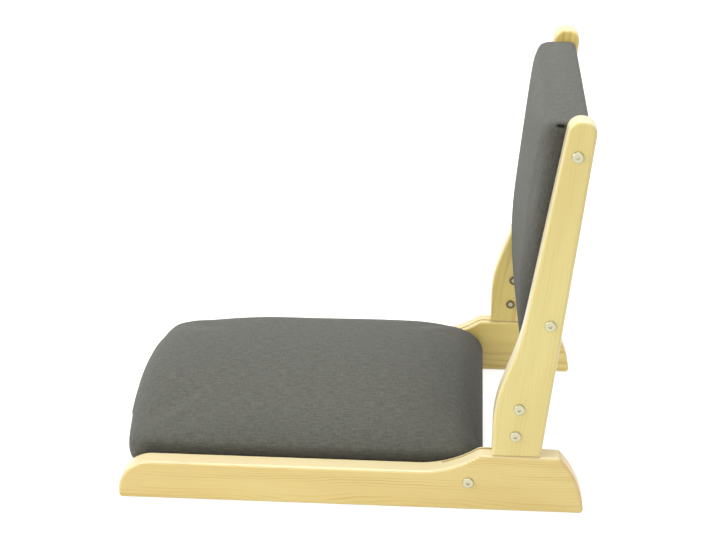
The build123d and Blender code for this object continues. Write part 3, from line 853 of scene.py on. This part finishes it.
# %% The back's stations on the leaning line
back_lean = math.radians(lean_degrees)
foot_rear, foot_low = 0.2228, 0.0728
line_foot = np.array((foot_rear, 0.0, foot_low))
up_axis = np.array((math.sin(back_lean), 0.0, math.cos(back_lean)))
front_axis = np.array((-math.cos(back_lean), 0.0, math.sin(back_lean)))
back_gap, back_crown_share = 0.003, 0.26
back_table = [  # height on the rear line, half width, depth of the widest line, depth at the crown
    (0.1480, 0.1630, 0.0195, 0.0240),
    (0.1520, 0.1675, 0.0212, 0.0290),
    (0.1640, 0.1712, 0.0233, 0.0350),
    (0.2040, 0.1728, 0.0272, 0.0463),
    (0.2400, 0.1732, 0.0302, 0.0548),
    (0.2760, 0.1734, 0.0321, 0.0597),
    (0.3200, 0.1734, 0.0327, 0.0609),
    (0.3800, 0.1734, 0.0330, 0.0617),
    (0.4300, 0.1733, 0.0335, 0.0622),
    (0.4480, 0.1731, 0.0350, 0.0617),
    (0.4580, 0.1729, 0.0380, 0.0590),
    (0.4640, 0.1728, 0.0395, 0.0552),
    (0.4680, 0.1724, 0.0398, 0.0510),
]


def back_place(across, forward_by, height):
    """Points in the chair's frame, from distances across the back, forward of its rear line and up to a
    height on it: the line's foot plus so far along the line plus so far along its forward direction."""
    along = (height - foot_low) / math.cos(back_lean)
    made = line_foot + along[..., None] * up_axis + forward_by[..., None] * front_axis
    made[..., 1] = across
    return made


def back_coordinates(points):
    """The way back: across, forward of the rear line, and along it, for points in the chair's frame."""
    offset = points - line_foot
    return points[:, 1], offset @ front_axis, offset @ up_axis


print("back stations:", len(back_table))

# %% [markdown]
# ## Drawing the back
# The rings lie across the back like slices of a standing loaf. The pad has straight sides against the
# uprights and a flat rear, which is its wooden frame, so only the front of each ring is crowned.

# %% Draw the back
flat_side_steps, flat_rear_steps = 6, 8


def back_surface(shrink, rows=80, across=24):
    """Rings around the back pad at stations up it: half a section, its flat side and rear, then mirrored."""
    height, columns = smooth_stations(back_table, rows)
    height = np.clip(height, back_table[0][0] + shrink, back_table[-1][0] - shrink)
    half, side, deep = columns[:, 0] - shrink, columns[:, 1], columns[:, 2] - shrink
    upper = half_section(half, side, deep, back_crown_share, across)
    t = np.linspace(0, 1, flat_side_steps + 1)[1:]
    out = np.repeat(half[:, None], flat_side_steps, 1)
    lower = np.stack([out, side[:, None] + (back_gap - side)[:, None] * t], -1)
    t = np.linspace(1, 0, flat_rear_steps + 2)[1:-1]
    behind = np.stack([half[:, None] * t, np.full((rows, flat_rear_steps), back_gap)], -1)
    ring = whole_ring(np.concatenate([upper, lower, behind], axis=1), back_gap)
    tall = np.broadcast_to(height[:, None], ring[..., 0].shape)
    return back_place(ring[..., 0], ring[..., 1], tall)


back = closed_grid("back_cushion", back_surface(start_small))
print("back drawn:", len(back.data.vertices), "points")

# %% [markdown]
# ## Padding the back
# The back's cloth is stapled to the rear of its frame, so the strip along the rear is held and the front
# swells.

# %% Pad the back
held_behind, held_fade = 0.022, 0.010
remesh(back, 0.0055)
_, forward_by, _ = back_coordinates(get_points(back))
inflate(back, 3.0, 0.0016, np.clip((held_behind - forward_by) / held_fade, 0, 1))
refine(back)
print("back padded:", len(back.data.vertices), "points")

# %% [markdown]
# ## Fitting and covering the back
# The uprights press the back's sides flat too. At each top corner the cloth is folded over itself, and the
# photograph shows it as a short dark pinch beside the upright: there the points are drawn in a little,
# and the third cloth number rises far enough to paint the cloth black, a painted shadow. A separate seam
# piece would stand proud of the cloth. The sides beside the wood and the lower end, which turns away from
# the light, are painted darker as painted shade.

# %% Fit the back between the uprights and cover it
back_limit, back_softness, back_shoulder = 0.1738, 0.0012, 0.060
pinch_height, pinch_forward = 0.4612, 0.0385
pinch_tall, pinch_flat, pinch_long, pinch_deep = 0.0030, 0.003, 0.004, 0.004
# Painted shade beside the uprights and at the lower end
side_dark, low_dark = 0.52, 0.50

across, forward_by, up = back_coordinates(get_points(back))
across = np.sign(across) * soft_limit(np.abs(across), back_limit, back_softness)
forward_by = np.maximum(forward_by, back_gap)

pinch_up = (pinch_height - foot_low) / math.cos(back_lean)
past_flat = np.clip(np.abs(forward_by - pinch_forward) - pinch_flat, 0, 1)
away = np.hypot((up - pinch_up) / pinch_tall, past_flat / pinch_long)
pinch = np.exp(-(away**2)) * ease(np.abs(across), 0.162, 0.170)
across -= np.sign(across) * pinch_deep * pinch
# Painted shade: darker beside the uprights and towards the lower end
painted_shading = side_dark * ease(np.abs(across), 0.156, 0.174) * ease(0.060 - forward_by, 0.0, 0.024)
painted_shading = np.maximum(painted_shading, low_dark * ease(0.290 - up, 0.0, 0.200))
points = back_place(across, forward_by, foot_low + up * math.cos(back_lean))
set_points(back, points)

drop = np.maximum(0.0, back_shoulder - forward_by)
to_side = ease(np.abs(across), 0.130, 0.168) * np.sign(across)
to_top = ease(up, 0.370, 0.388)
# The pinch also paints the black painted shadow at each top corner
lay_cloth(back, up + drop * to_top, across + drop * to_side, np.maximum(pinch, painted_shading))

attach(back, "back")
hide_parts("back_cover", "back_foam")
print("back box:", points.min(0).round(4), points.max(0).round(4))

# %% [markdown]
# ## Finish

# %% Finish
scene.view_settings.view_transform = "Standard"
bpy.context.view_layer.update()
